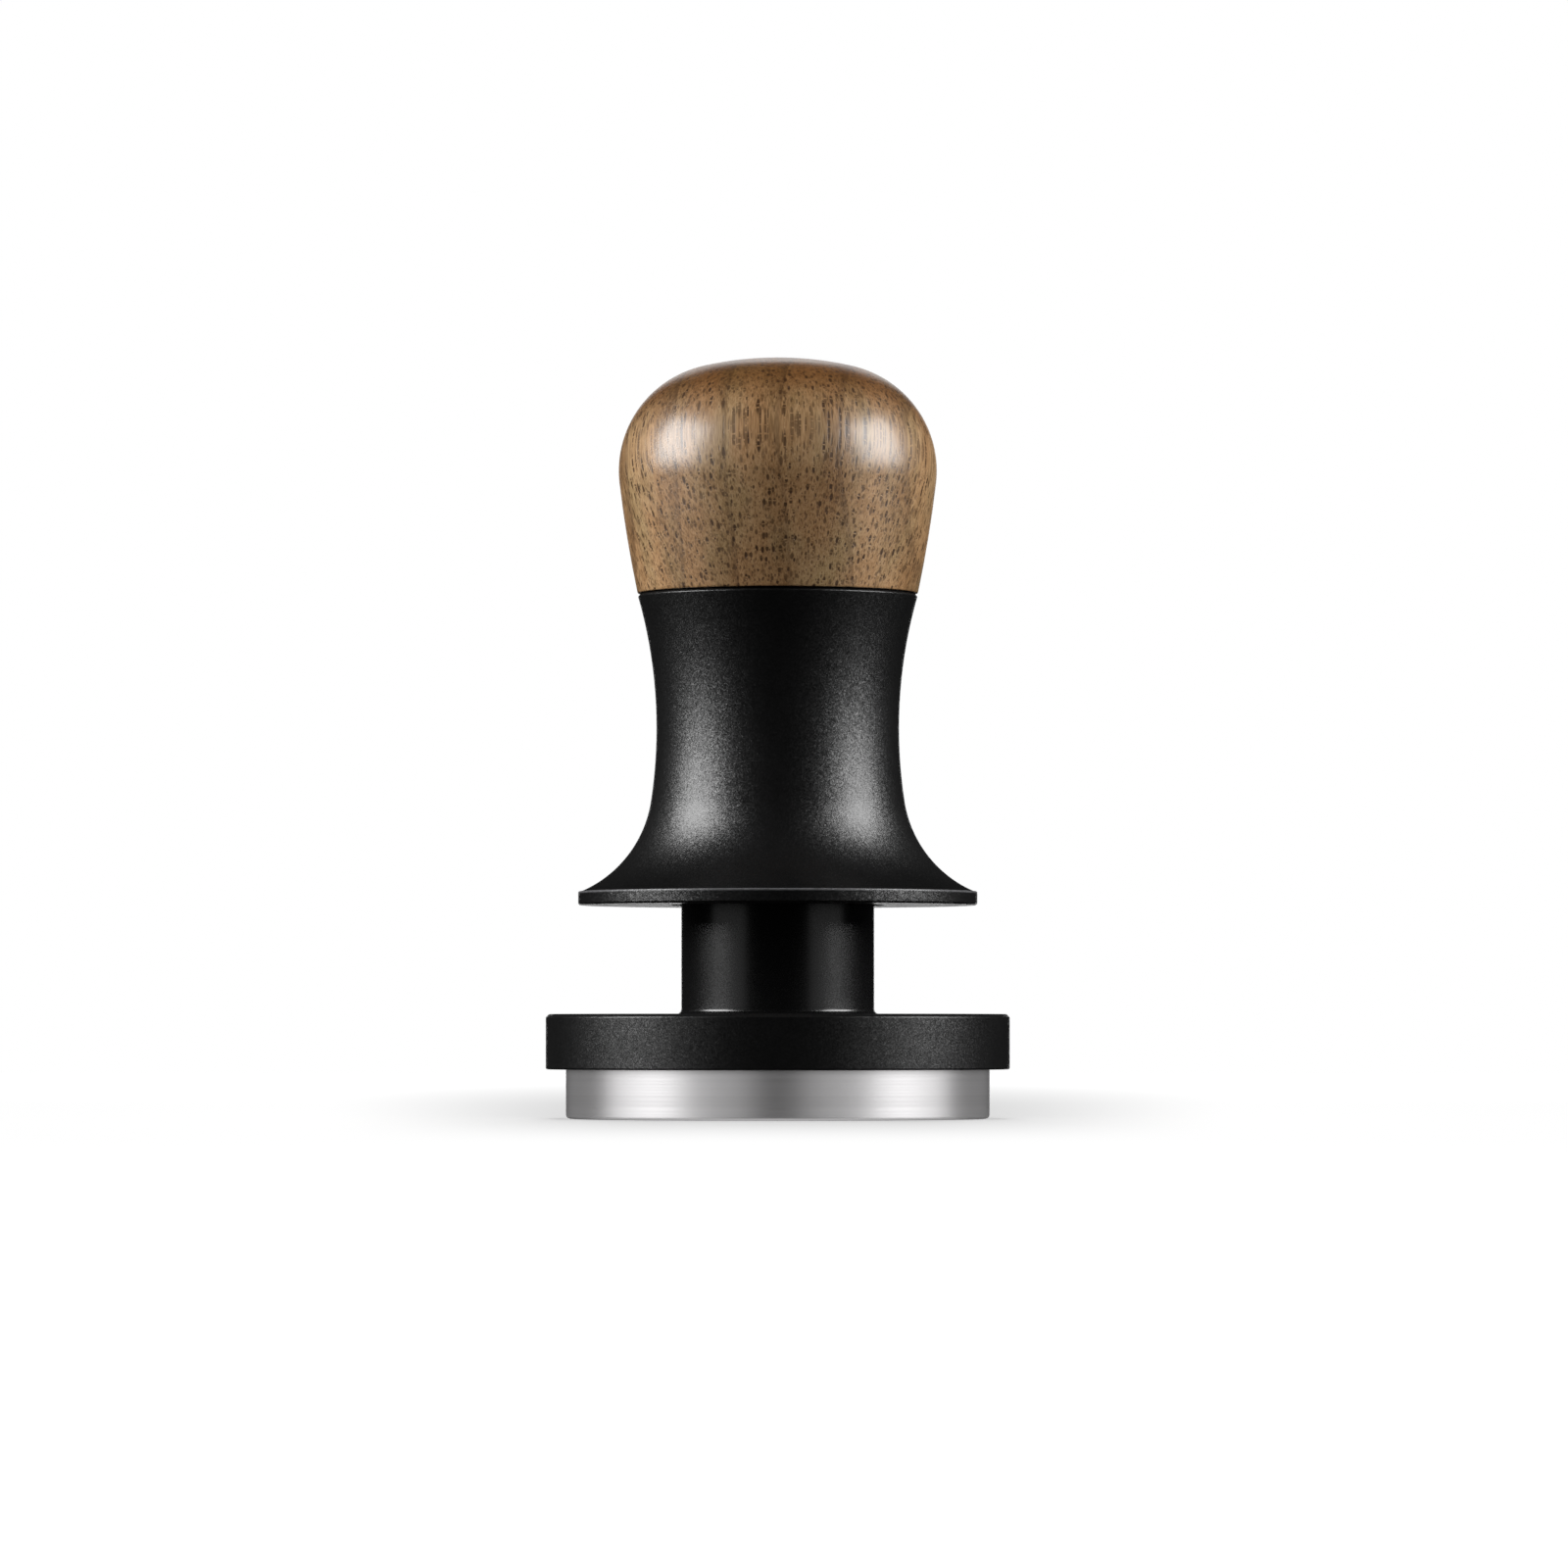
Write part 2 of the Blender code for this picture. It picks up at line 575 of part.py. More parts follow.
def make_plug():
    """Closes the housing. Its post meets the piston screw at the end of the handle's travel."""
    body_radius = HOUSING_BORE_RADIUS - GAP
    flange_bottom, flange_top = PLUG_FLANGE_Z
    bore_bottom = STUD_Z[0] - 0.5
    profile = [
        (0, bore_bottom),
        (STUD_BORE_RADIUS, bore_bottom),
        (STUD_BORE_RADIUS, flange_top),
        (HOUSING_RADIUS, flange_top),
        (HOUSING_RADIUS, flange_bottom),
        (body_radius, flange_bottom),
        (body_radius, PLUG_BOTTOM_Z),
        (POST_RADIUS, PLUG_BOTTOM_Z),
        (POST_RADIUS, POST_BOTTOM_Z + END_CHAMFER),
        (POST_RADIUS - END_CHAMFER, POST_BOTTOM_Z),
        (0, POST_BOTTOM_Z),
    ]
    turned("housing_plug", profile, "raw_aluminium", closed=False)
    washer("main_spring_seat", POST_RADIUS + GAP, body_radius, *SPRING_SEAT_Z, "stainless_steel")


INSERT_RADIUS, INSERT_Z = 5.0, (86.2, 97.5)
INSERT_FLANGE_RADIUS, INSERT_FLANGE_TOP_Z = 6.6, 87.0
KEY_GROOVES_Z = (94.4, 90.8)  # rings that key the insert into the wood
KEY_GROOVE_HALF_HEIGHT, KEY_GROOVE_DEPTH = 0.6, 0.5


def make_knob_stud():
    bottom, top = STUD_Z
    profile = [
        (0, top),
        (STUD_RADIUS - END_CHAMFER, top),
        (STUD_RADIUS, top - END_CHAMFER),
        (STUD_RADIUS, bottom + END_CHAMFER),
        (STUD_RADIUS - END_CHAMFER, bottom),
        (0, bottom),
    ]
    stud = turned("knob_stud", profile, "stainless_steel", closed=False)
    cut_hex_socket(stud, KEY_SIZE, top, KEY_DEPTH)


def make_knob_insert():
    bottom, top = INSERT_Z
    grooved = INSERT_RADIUS - KEY_GROOVE_DEPTH
    profile = [(STUD_BORE_RADIUS, top), (INSERT_RADIUS, top)]
    for z in KEY_GROOVES_Z:
        high, low = z + KEY_GROOVE_HALF_HEIGHT, z - KEY_GROOVE_HALF_HEIGHT
        profile += [(INSERT_RADIUS, high), (grooved, high), (grooved, low), (INSERT_RADIUS, low)]
    profile += [
        (INSERT_RADIUS, INSERT_FLANGE_TOP_Z),
        (INSERT_FLANGE_RADIUS, INSERT_FLANGE_TOP_Z),
        (INSERT_FLANGE_RADIUS, bottom),
        (STUD_BORE_RADIUS, bottom),
    ]
    turned("knob_insert", profile, "brass")


KNOB_BOTTOM_Z = SLEEVE_TOP_Z + 0.1
KNOB_EDGE = 0.1
KNOB_SPIGOT_RADIUS = SPIGOT_POCKET_RADIUS - GAP
KNOB_SPIGOT_BOTTOM_Z = HOUSING_FLANGE_Z[1] + GAP
KNOB_CAVITY_RADIUS, KNOB_CAVITY_TOP_Z = 11.0, INSERT_FLANGE_TOP_Z + GAP
INSERT_HOLE_RADIUS, INSERT_HOLE_TOP_Z = INSERT_RADIUS + GAP, INSERT_Z[1] + 0.5


def make_knob():
    """Walnut knob: a dome on a round shoulder that draws in to the sleeve, with a spigot below."""
    outline = arc_chain((0, KNOB_TOP_Z), 0, KNOB_ARCS, degrees_per_point=8.5)
    profile = [
        *outline,
        (outline[-1][0] - KNOB_EDGE, KNOB_BOTTOM_Z),
        (KNOB_SPIGOT_RADIUS, KNOB_BOTTOM_Z),
        (KNOB_SPIGOT_RADIUS, KNOB_SPIGOT_BOTTOM_Z),
        (KNOB_CAVITY_RADIUS, KNOB_SPIGOT_BOTTOM_Z),
        (KNOB_CAVITY_RADIUS, KNOB_CAVITY_TOP_Z),
        (INSERT_HOLE_RADIUS, KNOB_CAVITY_TOP_Z),
        (INSERT_HOLE_RADIUS, INSERT_HOLE_TOP_Z),
        (0, INSERT_HOLE_TOP_Z),
    ]
    turned("wood_knob", profile, "walnut", BIG_STEPS, closed=False)


clear_scene()
tamper = new_collection("espresso_tamper")
cutters = new_collection("cutters")

make_tamper_base()
make_shaft()
make_piston()
make_piston_screw()
make_main_spring()
make_levelling_ring()
make_ring_bush()
make_return_spring()
make_sleeve()
make_guide_bush()
make_spring_housing()
make_plug()
make_knob_stud()
make_knob_insert()
make_knob()
shade_smooth_with_corners()
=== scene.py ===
"""Looks of the spring-loaded espresso tamper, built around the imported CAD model. Metres, +Z up.

Almost every piece is turned. A fine piece takes its profile from its CAD node's own section, so it is
where the CAD puts it; the knob and the sleeve get their curves back as true arcs.
"""

import json
from math import asin, ceil, cos, degrees, hypot, pi, radians, sin, tan, tau

import bpy
from mathutils import Matrix, Vector


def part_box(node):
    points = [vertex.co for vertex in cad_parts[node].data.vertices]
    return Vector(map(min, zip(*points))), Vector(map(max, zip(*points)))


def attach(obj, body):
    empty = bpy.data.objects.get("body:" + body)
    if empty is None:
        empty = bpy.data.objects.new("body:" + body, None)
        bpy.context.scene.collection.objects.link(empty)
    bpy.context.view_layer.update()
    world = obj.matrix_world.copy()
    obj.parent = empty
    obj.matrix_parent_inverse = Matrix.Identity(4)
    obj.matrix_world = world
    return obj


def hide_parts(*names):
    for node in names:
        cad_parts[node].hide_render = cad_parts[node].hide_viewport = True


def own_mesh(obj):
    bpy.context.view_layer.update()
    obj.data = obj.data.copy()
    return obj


MM = 0.001

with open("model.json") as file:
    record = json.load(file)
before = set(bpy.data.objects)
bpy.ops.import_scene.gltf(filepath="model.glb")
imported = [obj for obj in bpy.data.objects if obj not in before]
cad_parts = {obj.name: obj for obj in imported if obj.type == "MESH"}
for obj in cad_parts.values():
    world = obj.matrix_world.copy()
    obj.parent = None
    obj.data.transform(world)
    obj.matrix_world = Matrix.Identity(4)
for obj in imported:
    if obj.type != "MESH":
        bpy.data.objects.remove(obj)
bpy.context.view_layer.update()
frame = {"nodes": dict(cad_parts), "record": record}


# ---- shader graphs ----


class Surface:
    """A Principled material under construction, with short calls for its nodes.

    Sizes in it are in millimetres: self.place is the point on the piece, in millimetres.
    """

    def __init__(self, name):
        self.material = bpy.data.materials.new(name)
        self.material.use_nodes = True
        self.tree = self.material.node_tree
        self.principled = self.tree.nodes["Principled BSDF"]
        self.coordinates = self.node("ShaderNodeTexCoord")
        self.place = self.scaled(self.coordinates.outputs["Object"], (1 / MM, 1 / MM, 1 / MM))

    def node(self, kind, inputs=None, **settings):
        made = self.tree.nodes.new(kind)
        for key, value in settings.items():
            setattr(made, key, value)
        for key, value in (inputs or {}).items():
            self.feed(made.inputs[key], value)
        return made

    def feed(self, socket, value):
        if isinstance(value, bpy.types.NodeSocket):
            self.tree.links.new(value, socket)
        else:
            socket.default_value = value

    def set(self, **values):
        """Sets the Principled inputs named, with _ for a space."""
        for key, value in values.items():
            self.feed(self.principled.inputs[key.replace("_", " ")], value)

    def scaled(self, vector, scale, turn=(0, 0, 0)):
        """The vector turned by degrees about X, Y and Z, then scaled."""
        angles = tuple(radians(a) for a in turn)
        turned = self.node("ShaderNodeMapping", {"Vector": vector, "Rotation": angles}).outputs[0]
        return self.node("ShaderNodeMapping", {"Vector": turned, "Scale": scale}).outputs[0]

    def maths(self, operation, *values, clamp=False):
        made = self.node("ShaderNodeMath", operation=operation, use_clamp=clamp)
        for socket, value in zip(made.inputs, values):
            self.feed(socket, value)
        return made.outputs[0]

    def lengthened(self, vector, factor):
        inputs = {"Vector": vector, "Scale": factor}
        return self.node("ShaderNodeVectorMath", inputs, operation="SCALE").outputs[0]

    def vector(self, operation, *values):
        made = self.node("ShaderNodeVectorMath", operation=operation)
        for socket, value in zip(made.inputs, values):
            self.feed(socket, value)
        return made.outputs["Value" if operation in ("DOT_PRODUCT", "LENGTH") else "Vector"]

    def noise(self, vector, scale=1.0, detail=2.0, roughness=0.5, distortion=0.0):
        inputs = {
            "Vector": vector,
            "Scale": scale,
            "Detail": detail,
            "Roughness": roughness,
            "Distortion": distortion,
        }
        return self.node("ShaderNodeTexNoise", inputs).outputs[0]

    def fade(self, value, low, high, out_low=0.0, out_high=1.0):
        """The value's run from low to high, made a smooth run from out_low to out_high."""
        inputs = {
            "Value": value,
            "From Min": low,
            "From Max": high,
            "To Min": out_low,
            "To Max": out_high,
        }
        return self.node("ShaderNodeMapRange", inputs, interpolation_type="SMOOTHSTEP").outputs[0]

    def mix(self, factor, first, second, blend="MIX"):
        """The second colour over the first, by the factor. A colour is a socket or three numbers."""
        made = self.node("ShaderNodeMix", data_type="RGBA", blend_type=blend)
        by_name = {socket.identifier: socket for socket in made.inputs}
        self.feed(by_name["Factor_Float"], factor)
        for key, colour in (("A_Color", first), ("B_Color", second)):
            self.feed(by_name[key], colour if isinstance(colour, bpy.types.NodeSocket) else (*colour, 1))
        return next(socket for socket in made.outputs if socket.identifier == "Result_Color")

    def ramp(self, value, stops):
        made = self.node("ShaderNodeValToRGB", {"Fac": value})
        elements = made.color_ramp.elements
        while len(elements) < len(stops):
            elements.new(1.0)
        for element, (position, colour) in zip(elements, stops):
            element.position = position
            element.color = (*colour, 1)
        return made.outputs[0]

    def bump(self, height, depth):
        """A bump whose height of 1 stands depth millimetres proud."""
        inputs = {"Height": height, "Strength": 1.0, "Distance": depth * MM}
        return self.node("ShaderNodeBump", inputs).outputs[0]

    def radius_and_height(self):
        """The place's distance from the axis and its height, in millimetres."""
        x, y, z = self.node("ShaderNodeSeparateXYZ", {"Vector": self.place}).outputs
        squares = self.maths("ADD", self.maths("POWER", x, 2), self.maths("POWER", y, 2))
        return self.maths("SQRT", squares), z

    def turning_lines(self):
        """A point that is the same all round the axis: its radius, nothing, its height."""
        radius, height = self.radius_and_height()
        return self.node("ShaderNodeCombineXYZ", {"X": radius, "Z": height}).outputs[0]


# ---- materials ----

GRAIN_LEAN = 20  # degrees by which the walnut's grain leans back from the axis
PITH = (-150.0, -16.0)  # where the growth rings centre, across the grain
RING_WIDTH, RING_SHIFT = 7.7, 5.4  # the growth rings' spacing, and how far they are moved outwards
# From dark to pale: the place in the ramp and the colour.
WALNUT_TONES = (
    (0.0, (0.130, 0.068, 0.026)),
    (0.35, (0.250, 0.145, 0.064)),
    (0.68, (0.370, 0.228, 0.110)),
    (1.0, (0.480, 0.315, 0.165)),
)
# How much each thing adds to the tone.
PATCH_TONE, FIBRE_TONE, FINE_FIBRE_TONE, LATE_WOOD_TONE, BASE_TONE = 0.25, 0.24, 0.34, -0.16, 0.17
RED_TINT, GREEN_TINT = (1.10, 0.96, 0.88), (0.88, 0.96, 0.92)
# The darker, redder tone of the dome's top: partly end grain, partly painted shade.
END_GRAIN_AND_SHADE_TINT = (0.50, 0.39, 0.27)
RING_EDGE_COLOUR = (0.09, 0.055, 0.032)
PORE_COLOUR = (0.042, 0.018, 0.006)
# Vessels to the millimetre across the grain, the share of them that are open, their smallest and
# largest radius in millimetres, and a seed.
BIG_VESSELS = (1.3, 0.95, (0.14, 0.26), 0.0)
SMALL_VESSELS = (2.3, 0.9, (0.08, 0.14), 41.3)
SMALL_VESSEL_DEPTH = 0.75  # of a big one's
# Changes to the millimetre between a vessel's open and filled stretches, and the noise values between
# which it fills.
VESSEL_CHANGES, VESSEL_FILLS = 0.45, (0.34, 0.44)

BLACKS = (0.0016, 0.0016, 0.0017), (0.0026, 0.0026, 0.0027)
# The blasted grain's layers: facets to the millimetre, and how far they tilt.
BLASTED_FACETS = ((3.4, 0.045), (7.0, 0.12), (16.0, 0.22))
# Between each pair of radii the grain changes: within the first is the tube, which is left smooth, and
# outside the second the levelling ring, whose grain is this share of the sleeve's.
SLIDING_RADII = (13.5, 13.9)
RING_RADII = (27.6, 28.2)
RING_GRAIN = 0.7
# A painted highlight on the flange's upper edge: the radii and heights between which its paler colour
# comes in, and that colour.
PAINTED_HIGHLIGHT_RADII, PAINTED_HIGHLIGHT_HEIGHTS = (27.05, 27.3), (30.95, 31.1)  # the flange's upper edge
PAINTED_HIGHLIGHT_COLOUR = (0.11, 0.11, 0.115)


def vessels(s, grain, per_mm, share, radii, seed):
    """How much of a vessel there is at a point: long tubes along the grain, that start and end."""
    bend = s.noise(s.scaled(grain, (0.09, 0.09, 0.04)), 1.0, 1.0)
    across = s.scaled(grain, (per_mm, per_mm, 0.0))
    moved = s.vector("ADD", across, s.node("ShaderNodeCombineXYZ", {"X": bend, "Y": seed}).outputs[0])
    inputs = {"Vector": moved, "Scale": 1.0, "Randomness": 1.0}
    cell = s.node("ShaderNodeTexVoronoi", inputs, voronoi_dimensions="2D")
    picks = s.node("ShaderNodeSeparateColor", {"Color": cell.outputs["Color"]}).outputs
    radius = s.maths("MULTIPLY", s.fade(picks[0], 0.0, 1.0, *radii), per_mm)
    hole = s.fade(s.maths("DIVIDE", cell.outputs["Distance"], radius), 1.2, 0.65)
    along = s.node("ShaderNodeSeparateXYZ", {"Vector": grain}).outputs[2]
    line = s.maths("ADD", s.maths("MULTIPLY", along, VESSEL_CHANGES), s.maths("MULTIPLY", picks[1], 200))
    run = s.node("ShaderNodeTexNoise", {"W": line}, noise_dimensions="1D").outputs[0]
    hole = s.maths("MULTIPLY", hole, s.fade(run, *VESSEL_FILLS))
    hole = s.maths("MULTIPLY", hole, s.maths("LESS_THAN", picks[2], share))
    return s.maths("MULTIPLY", hole, s.fade(picks[1], 0.0, 1.0, 0.45, 1.0))


def growth_rings(s, grain):
    """The place in a growth ring, 0 at its start and 1 at its end."""
    wander = s.noise(s.scaled(grain, (0.06, 0.06, 0.025)), 1.0, 2.0)
    split = s.node("ShaderNodeSeparateXYZ", {"Vector": grain}).outputs
    x, y = (s.maths("POWER", s.maths("SUBTRACT", split[i], PITH[i]), 2) for i in range(2))
    distance = s.maths("ADD", s.maths("SQRT", s.maths("ADD", x, y)), s.maths("MULTIPLY", wander, 3.0))
    return s.maths("FRACT", s.maths("DIVIDE", s.maths("ADD", distance, RING_SHIFT), RING_WIDTH))


def walnut():
    """Satin-lacquered walnut as a solid: growth rings, fibres and open pores run through it along the
    grain, so the dome shows them end on and the sides show them long."""
    s = Surface("walnut")
    grain = s.scaled(s.place, (1, 1, 1), (GRAIN_LEAN, 0, 0))
    ring = growth_rings(s, grain)
    late_wood = s.fade(ring, 0.35, 0.97)
    ring_edge = s.maths("MULTIPLY", s.fade(ring, 0.88, 0.96), s.fade(ring, 1.0, 0.98))

    patches = s.noise(s.scaled(grain, (0.13, 0.13, 0.03)), 1.0, 3.0, 0.55)
    fibres = s.noise(s.scaled(grain, (1.5, 1.5, 0.10)), 1.0, 3.0, 0.6)
    fine_fibres = s.noise(s.scaled(grain, (5.5, 5.5, 0.5)), 1.0, 2.0, 0.5)
    tone = s.maths("MULTIPLY", s.fade(patches, 0.3, 0.7), PATCH_TONE)
    tone = s.maths("ADD", tone, s.maths("MULTIPLY", s.fade(fibres, 0.3, 0.7), FIBRE_TONE))
    tone = s.maths("ADD", tone, s.maths("MULTIPLY", s.fade(fine_fibres, 0.32, 0.68), FINE_FIBRE_TONE))
    tone = s.maths("ADD", tone, s.maths("MULTIPLY", late_wood, LATE_WOOD_TONE))
    tone = s.maths("ADD", tone, BASE_TONE, clamp=True)
    colour = s.ramp(tone, WALNUT_TONES)
    tint = s.noise(s.scaled(grain, (0.2, 0.2, 0.06)), 1.0, 2.0)
    colour = s.mix(s.fade(tint, 0.42, 0.62, 0.0, 0.5), colour, RED_TINT, "MULTIPLY")
    colour = s.mix(s.fade(tint, 0.46, 0.3, 0.0, 0.6), colour, GREEN_TINT, "MULTIPLY")
    colour = s.mix(s.maths("MULTIPLY", ring_edge, 0.22), colour, RING_EDGE_COLOUR)

    # Where the dome faces along the grain it goes darker and redder: partly its end grain drinking the
    # finish, partly painted shade on its top.
    lean = radians(GRAIN_LEAN)
    facing = s.vector("DOT_PRODUCT", s.coordinates.outputs["Normal"], (0, sin(lean), cos(lean)))
    colour = s.mix(s.fade(facing, 0.1, 0.62), colour, END_GRAIN_AND_SHADE_TINT, "MULTIPLY")

    big = vessels(s, grain, *BIG_VESSELS)
    small = s.maths("MULTIPLY", vessels(s, grain, *SMALL_VESSELS), SMALL_VESSEL_DEPTH)
    pores = s.maths("MAXIMUM", big, small)
    colour = s.mix(s.maths("MULTIPLY", pores, 0.95), colour, PORE_COLOUR)

    height = s.maths("SUBTRACT", s.maths("MULTIPLY", fine_fibres, 0.06), pores)
    s.set(
        Base_Color=colour,
        Roughness=s.fade(fibres, 0.3, 0.7, 0.36, 0.42),
        Normal=s.bump(height, 0.015),
        Coat_Weight=0.5,
        Coat_Roughness=0.27,
        IOR=1.45,
    )
    return s.material


def black_anodised():
    """Aluminium, bead-blasted to a fine even grain of small facets and dyed black.

    The tube slides in its bush, so it is left smooth, and the flange's upper edge is painted paler as a
    highlight.
    """
    s = Surface("black_anodised")
    radius, height = s.radius_and_height()
    blasted = s.fade(radius, *SLIDING_RADII)
    grit = s.maths("MULTIPLY", blasted, s.fade(radius, *RING_RADII, 1.0, RING_GRAIN))
    normal = s.node("ShaderNodeNewGeometry").outputs["Normal"]
    for per_mm, tilt in BLASTED_FACETS:
        facet = s.node("ShaderNodeTexVoronoi", {"Vector": s.place, "Scale": per_mm}).outputs["Color"]
        lean = s.vector("SUBTRACT", facet, (0.5, 0.5, 0.5))
        lean = s.lengthened(lean, s.maths("MULTIPLY", grit, tilt))
        normal = s.vector("ADD", normal, lean)
    cloud = s.noise(s.place, 0.12, 2.0)
    colour = s.mix(s.fade(cloud, 0.35, 0.65), *BLACKS)
    # A painted highlight: the flange's upper edge is painted paler, in uneven patches.
    painted_highlight = s.maths("MULTIPLY", s.fade(radius, *PAINTED_HIGHLIGHT_RADII), s.fade(height, *PAINTED_HIGHLIGHT_HEIGHTS))
    highlight_breakup = s.fade(s.noise(s.place, 0.8, 3.0), 0.25, 0.6, 0.55, 1.0)
    roughness = s.fade(s.noise(s.place, 5.0, 1.0), 0.3, 0.7, 0.31, 0.38)
    s.set(
        Base_Color=s.mix(s.maths("MULTIPLY", painted_highlight, highlight_breakup), colour, PAINTED_HIGHLIGHT_COLOUR),
        Roughness=s.maths("SUBTRACT", roughness, s.fade(blasted, 0.0, 1.0, 0.09, 0.0)),
        Normal=s.vector("NORMALIZE", normal),
        IOR=1.55,
    )
    return s.material


def turned_metal(name, colour, roughness, lines, depth, anisotropy=0.6):
    """Metal off a lathe: fine lines run round it, lines to the millimetre and depth millimetres deep."""
    s = Surface(name)
    around = s.turning_lines()
    cuts = s.noise(around, lines, 2.0, 0.6)
    passes = s.noise(around, lines / 12, 2.0, 0.5)
    darker = tuple(c * 0.88 for c in colour)
    s.set(
        Base_Color=s.mix(s.fade(passes, 0.35, 0.65), darker, colour),
        Metallic=1.0,
        Roughness=s.fade(cuts, 0.3, 0.7, roughness - 0.03, roughness + 0.05),
        Anisotropic=anisotropy,
        Anisotropic_Rotation=0.25,
        Tangent=s.node("ShaderNodeTangent", direction_type="RADIAL", axis="Z").outputs[0],
        Normal=s.bump(cuts, depth),
    )
    return s.material


def spring_steel():
    """Oil-hardened wire and strip: dark grey, with drawn streaks and a trace of oil."""
    s = Surface("spring_steel")
    streaks = s.noise(s.scaled(s.place, (1, 1, 3)), 3.2, 4.0, 0.6)
    s.set(
        Base_Color=s.mix(s.fade(streaks, 0.3, 0.7), (0.25, 0.24, 0.23), (0.35, 0.34, 0.32)),
        Metallic=1.0,
        Roughness=s.fade(streaks, 0.3, 0.7, 0.27, 0.36),
        Normal=s.bump(streaks, 0.002),
        Coat_Weight=0.25,
        Coat_Roughness=0.12,
    )
    return s.material


def acetal():
    """Natural white acetal, turned: waxy, with faint tool lines."""
    s = Surface("acetal")
    cuts = s.noise(s.turning_lines(), 5.0, 2.0, 0.6)
    s.set(
        Base_Color=s.mix(s.fade(cuts, 0.3, 0.7), (0.74, 0.73, 0.68), (0.83, 0.82, 0.78)),
        Roughness=s.fade(cuts, 0.3, 0.7, 0.36, 0.46),
        Normal=s.bump(cuts, 0.012),
        Subsurface_Weight=0.15,
        Subsurface_Radius=(1.0, 0.9, 0.7),
        Subsurface_Scale=0.6 * MM,
    )
    return s.material


def silicone_rubber():
    """Black moulded silicone, with a fine matt skin and a trace of dust."""
    s = Surface("silicone_rubber")
    skin = s.noise(s.place, 9.0, 2.0, 0.6)
    dust = s.noise(s.place, 1.4, 4.0, 0.7)
    s.set(
        Base_Color=s.mix(s.fade(dust, 0.5, 0.75), (0.016, 0.016, 0.017), (0.050, 0.049, 0.047)),
        Roughness=s.fade(dust, 0.4, 0.7, 0.62, 0.8),
        Normal=s.bump(skin, 0.012),
    )
    return s.material


MATERIALS = {
    "walnut": walnut(),
    "black_anodised": black_anodised(),
    "stainless_steel": turned_metal("stainless_steel", (0.635, 0.625, 0.63), 0.4, 7.0, 0.0035, 0.3),
    "brass": turned_metal("brass", (0.73, 0.50, 0.20), 0.26, 4.5, 0.006),
    "raw_aluminium": turned_metal("raw_aluminium", (0.76, 0.76, 0.77), 0.3, 4.0, 0.006),
    "spring_steel": spring_steel(),
    "acetal": acetal(),
    "silicone_rubber": silicone_rubber(),
}

SLOT_OF = {row["node"]: row["material_slot"] for row in frame["record"]["subparts"]}


# ---- shapes ----

SMOOTH_BELOW = 35  # degrees between two faces, above which their edge is sharp
CORNER_ABOVE = 20  # degrees that a profile turns, above which it has a corner to round
CORNER_STEP = 18  # degrees


def section(node, azimuth=0):
    """A turned CAD node's (r, z) section, in millimetres, from the points it has at that azimuth.

    It runs down the outer side. A section that isn't closed is ended on the axis.
    """
    turn = Matrix.Rotation(-radians(azimuth), 3, "Z")
    mesh = frame["nodes"][node].data
    keys = {}
    for vertex in mesh.vertices:
        place = turn @ vertex.co / MM
        if abs(place.y) < 1e-3 and place.x > -1e-3:
            keys[vertex.index] = (round(max(place.x, 0), 3), round(place.z, 3))
    near = {}
    for edge in mesh.edges:
        a, b = (keys.get(i) for i in edge.vertices)
        if a and b and a != b:
            near.setdefault(a, set()).add(b)
            near.setdefault(b, set()).add(a)
    ends = [point for point in near if len(near[point]) == 1]
    path = [max(ends or near, key=lambda point: (point[1], point[0]))]
    while True:
        ahead = [p for p in near[path[-1]] if p not in path]
        if not ahead:
            break
        path.append(max(ahead) if len(path) == 1 else ahead[0])
    if ends:
        path = [(0, path[0][1])] * (path[0][0] > 0) + path + [(0, path[-1][1])] * (path[-1][0] > 0)
    area = sum(a[0] * b[1] - b[0] * a[1] for a, b in zip(path, path[1:] + path[:1]))
    return path if area < 0 else path[::-1]


def arc_chain(start, heading, arcs, degrees_per_point=1.5):
    """Points along arcs that run smoothly into each other, in the (r, z) plane.

    heading is the direction at the start, in degrees from outwards (0) through down (-90). Each arc
    is (radius, turn in degrees): a positive turn is clockwise, a negative one anticlockwise.
    """
    points = [start]
    angle = radians(heading)
    for radius, turn in arcs:
        side = 1 if turn > 0 else -1
        centre_r = points[-1][0] + side * radius * sin(angle)
        centre_z = points[-1][1] - side * radius * cos(angle)
        count = ceil(abs(turn) / degrees_per_point)
        first = angle
        for i in range(1, count + 1):
            angle = first - radians(turn) * i / count
            across, up = side * radius * sin(angle), side * radius * cos(angle)
            points.append((centre_r - across, centre_z + up))
    return points


def with_outline(profile, outline):
    """The profile with its stretch between the outline's two ends replaced by the outline."""
    first, last = (
        min(range(len(profile)), key=lambda i: hypot(profile[i][0] - end[0], profile[i][1] - end[1]))
        for end in (outline[0], outline[-1])
    )
    return profile[:first] + outline + profile[last + 1 :]


def rounded(profile, radius, closed):
    """The profile with its corners rounded, as far as the lengths beside them allow."""
    count = len(profile)
    points = []
    for i, here in enumerate(profile):
        if not closed and i in (0, count - 1):
            points.append(here)
            continue
        here = Vector(here)
        back, ahead = Vector(profile[i - 1]) - here, Vector(profile[(i + 1) % count]) - here
        turn = pi - back.angle(ahead)
        if degrees(turn) < CORNER_ABOVE:
            points.append(tuple(here))
            continue
        reach = min(radius * tan(turn / 2), 0.45 * back.length, 0.45 * ahead.length)
        start, end = here + back.normalized() * reach, here + ahead.normalized() * reach
        steps = max(2, round(degrees(turn) / CORNER_STEP))
        for k in range(steps + 1):
            t = k / steps
            # A quadratic curve through the corner's two tangent points.
            points.append(tuple(start * (1 - t) ** 2 + here * 2 * t * (1 - t) + end * t * t))
    return points


